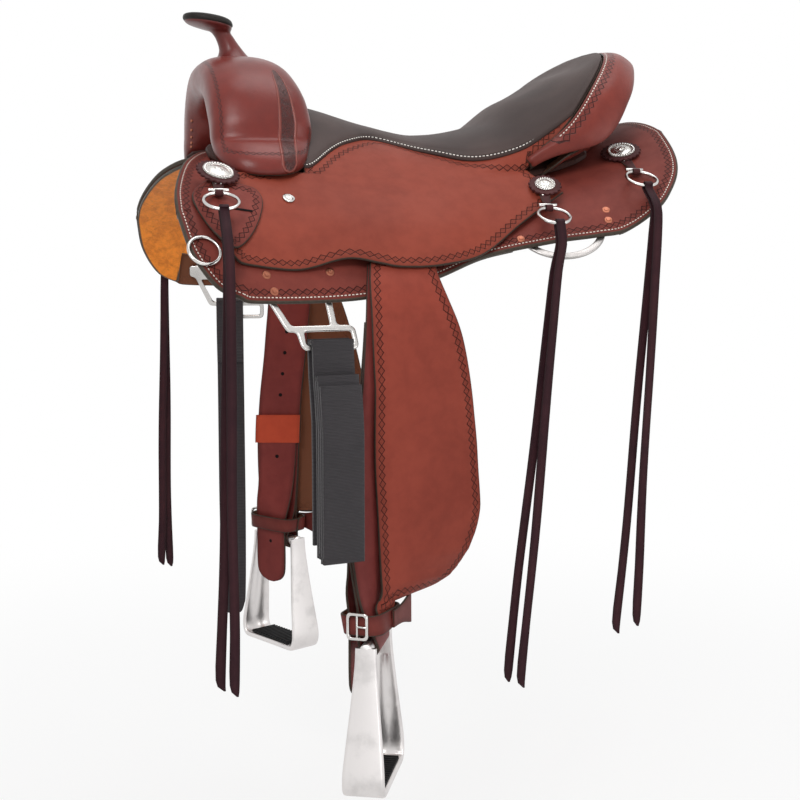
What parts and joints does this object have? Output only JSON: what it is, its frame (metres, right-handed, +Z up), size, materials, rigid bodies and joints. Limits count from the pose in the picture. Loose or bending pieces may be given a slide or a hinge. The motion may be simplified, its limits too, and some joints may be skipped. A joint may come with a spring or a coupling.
{
  "type": "western trail saddle",
  "caption": "Western trail saddle with horn, high cantle, padded seat, skirts, swinging fenders with turned stirrups, rigging plates, latigo, and conchos with rings and long saddle strings.",
  "frame": {"origin": "on the horse's back line under the middle of the tree, at the height of the linings' lowest ridge point", "axes": "-X towards the horse's head, -Y the near (left) side, +Z up"},
  "size_m": [0.6495, 0.7092, 0.9063],
  "materials": {
    "chestnut_leather": "waxed, semi-gloss",
    "dark_leather": "oiled, matt",
    "black_leather": "smooth, semi-matt",
    "tan_suede": "rough flesh side",
    "nylon_webbing": "woven, matt",
    "steel": "satin",
    "bright_steel": "bright, engraved",
    "satin_aluminium": "brushed satin",
    "black_rubber": "matt, ribbed",
    "tree_wood": "sealed"
  },
  "bodies": {
    "saddle": {"cantle_back": "chestnut_leather", "cantle_roll": "chestnut_leather", "concho_front_left": "bright_steel", "concho_front_right": "bright_steel", "concho_mid_left": "bright_steel", "concho_mid_right": "bright_steel", "concho_rear_left": "bright_steel", "concho_rear_right": "bright_steel", "front_dee_left": "steel", "ground_seat": "steel", "horn": "black_leather", "latigo_holder": "chestnut_leather", "lining_left": "tan_suede", "lining_right": "tan_suede", "rear_dee_left": "steel", "rear_dee_right": "steel", "rigging_plate_left": "steel", "rigging_plate_right": "steel", "rosette_front_left": "dark_leather", "rosette_front_right": "dark_leather", "rosette_rear_left": "dark_leather", "rosette_rear_right": "dark_leather", "seat_leather": "chestnut_leather", "seat_pad": "black_leather", "skirt_left": "chestnut_leather", "skirt_right": "chestnut_leather", "stirrup_hanger_left": "dark_leather", "stirrup_hanger_right": "dark_leather", "swell_cover": "chestnut_leather", "tree_bar_left": "tree_wood", "tree_bar_right": "tree_wood", "tree_cantle": "tree_wood", "tree_fork": "tree_wood"},
    "stirrup_swing_left": {"stirrup_left": "satin_aluminium", "tread_pad_left": "black_rubber"},
    "fender_swing_left": {"fender_left": "chestnut_leather", "stirrup_leather_left": "chestnut_leather", "hobble_strap_left": "chestnut_leather", "hobble_buckle_left": "steel"},
    "front_ring_left": {"ring_front_left": "bright_steel"},
    "front_strings_left": {"string_front_left": "dark_leather"},
    "mid_ring_left": {"ring_mid_left": "bright_steel"},
    "mid_strings_left": {"string_mid_left": "dark_leather"},
    "rear_ring_left": {"ring_rear_left": "bright_steel"},
    "rear_strings_left": {"string_rear_left": "dark_leather"},
    "stirrup_swing_right": {"stirrup_right": "satin_aluminium", "tread_pad_right": "black_rubber"},
    "fender_swing_right": {"fender_right": "chestnut_leather", "stirrup_leather_right": "chestnut_leather", "hobble_strap_right": "chestnut_leather", "hobble_buckle_right": "steel"},
    "front_ring_right": {"ring_front_right": "bright_steel"},
    "front_strings_right": {"string_front_right": "dark_leather"},
    "mid_ring_right": {"ring_mid_right": "bright_steel"},
    "mid_strings_right": {"string_mid_right": "dark_leather"},
    "rear_ring_right": {"ring_rear_right": "bright_steel"},
    "cinch_latigo": {"latigo": "nylon_webbing"},
    "cinch_billet": {"off_billet": "nylon_webbing"}
  },
  "joints": [
    {"name": "fender_swing_left", "type": "hinge", "parent": "saddle", "child": "fender_swing_left", "pos_m": [-0.08, -0.25582, -0.11564], "axis": [0, -0.8131, 0.5821], "range_deg": [0, 12]},
    {"name": "stirrup_turn_left", "type": "hinge", "parent": "fender_swing_left", "child": "stirrup_swing_left", "pos_m": [-0.113, -0.285, -0.547], "axis": [0.4384, 0.8988, 0], "range_deg": [-35, 35]},
    {"name": "front_ring_turn_left", "type": "hinge", "parent": "saddle", "child": "front_ring_left", "pos_m": [-0.2775, -0.2405, -0.0368], "axis": [-1, 0, 0], "range_deg": [0, 60]},
    {"name": "front_strings_swing_left", "type": "hinge", "parent": "front_ring_left", "child": "front_strings_left", "pos_m": [-0.2775, -0.27458, -0.05493], "axis": [-1, 0, 0], "range_deg": [0, 30]},
    {"name": "mid_ring_turn_left", "type": "hinge", "parent": "saddle", "child": "mid_ring_left", "pos_m": [0.1186, -0.2319, -0.051], "axis": [-1, 0, 0], "range_deg": [0, 60]},
    {"name": "mid_strings_swing_left", "type": "hinge", "parent": "mid_ring_left", "child": "mid_strings_left", "pos_m": [0.1186, -0.26598, -0.06913], "axis": [-1, 0, 0], "range_deg": [0, 30]},
    {"name": "rear_ring_turn_left", "type": "hinge", "parent": "saddle", "child": "rear_ring_left", "pos_m": [0.2506, -0.1915, -0.005], "axis": [-1, 0, 0], "range_deg": [0, 60]},
    {"name": "rear_strings_swing_left", "type": "hinge", "parent": "rear_ring_left", "child": "rear_strings_left", "pos_m": [0.2506, -0.22559, -0.02312], "axis": [-1, 0, 0], "range_deg": [0, 30]},
    {"name": "fender_swing_right", "type": "hinge", "parent": "saddle", "child": "fender_swing_right", "pos_m": [-0.08, 0.25582, -0.11564], "axis": [0, -0.8131, -0.5821], "range_deg": [0, 12]},
    {"name": "stirrup_turn_right", "type": "hinge", "parent": "fender_swing_right", "child": "stirrup_swing_right", "pos_m": [-0.113, 0.285, -0.547], "axis": [0.4384, -0.8988, 0], "range_deg": [-35, 35]},
    {"name": "front_ring_turn_right", "type": "hinge", "parent": "saddle", "child": "front_ring_right", "pos_m": [-0.2775, 0.2405, -0.0368], "axis": [1, 0, 0], "range_deg": [0, 60]},
    {"name": "front_strings_swing_right", "type": "hinge", "parent": "front_ring_right", "child": "front_strings_right", "pos_m": [-0.2775, 0.27458, -0.05493], "axis": [1, 0, 0], "range_deg": [0, 30]},
    {"name": "mid_ring_turn_right", "type": "hinge", "parent": "saddle", "child": "mid_ring_right", "pos_m": [0.1186, 0.2319, -0.051], "axis": [1, 0, 0], "range_deg": [0, 60]},
    {"name": "mid_strings_swing_right", "type": "hinge", "parent": "mid_ring_right", "child": "mid_strings_right", "pos_m": [0.1186, 0.26598, -0.06913], "axis": [1, 0, 0], "range_deg": [0, 30]},
    {"name": "rear_ring_turn_right", "type": "hinge", "parent": "saddle", "child": "rear_ring_right", "pos_m": [0.2506, 0.1915, -0.005], "axis": [1, 0, 0], "range_deg": [0, 60]},
    {"name": "latigo_swing", "type": "hinge", "parent": "saddle", "child": "cinch_latigo", "pos_m": [-0.16535, -0.29877, -0.20663], "axis": [-0.9863, -0.1649, 0], "range_deg": [0, 30]},
    {"name": "off_billet_swing", "type": "hinge", "parent": "saddle", "child": "cinch_billet", "pos_m": [-0.18399, 0.29036, -0.18606], "axis": [0.9863, -0.1649, 0], "range_deg": [0, 30]}
  ]
}
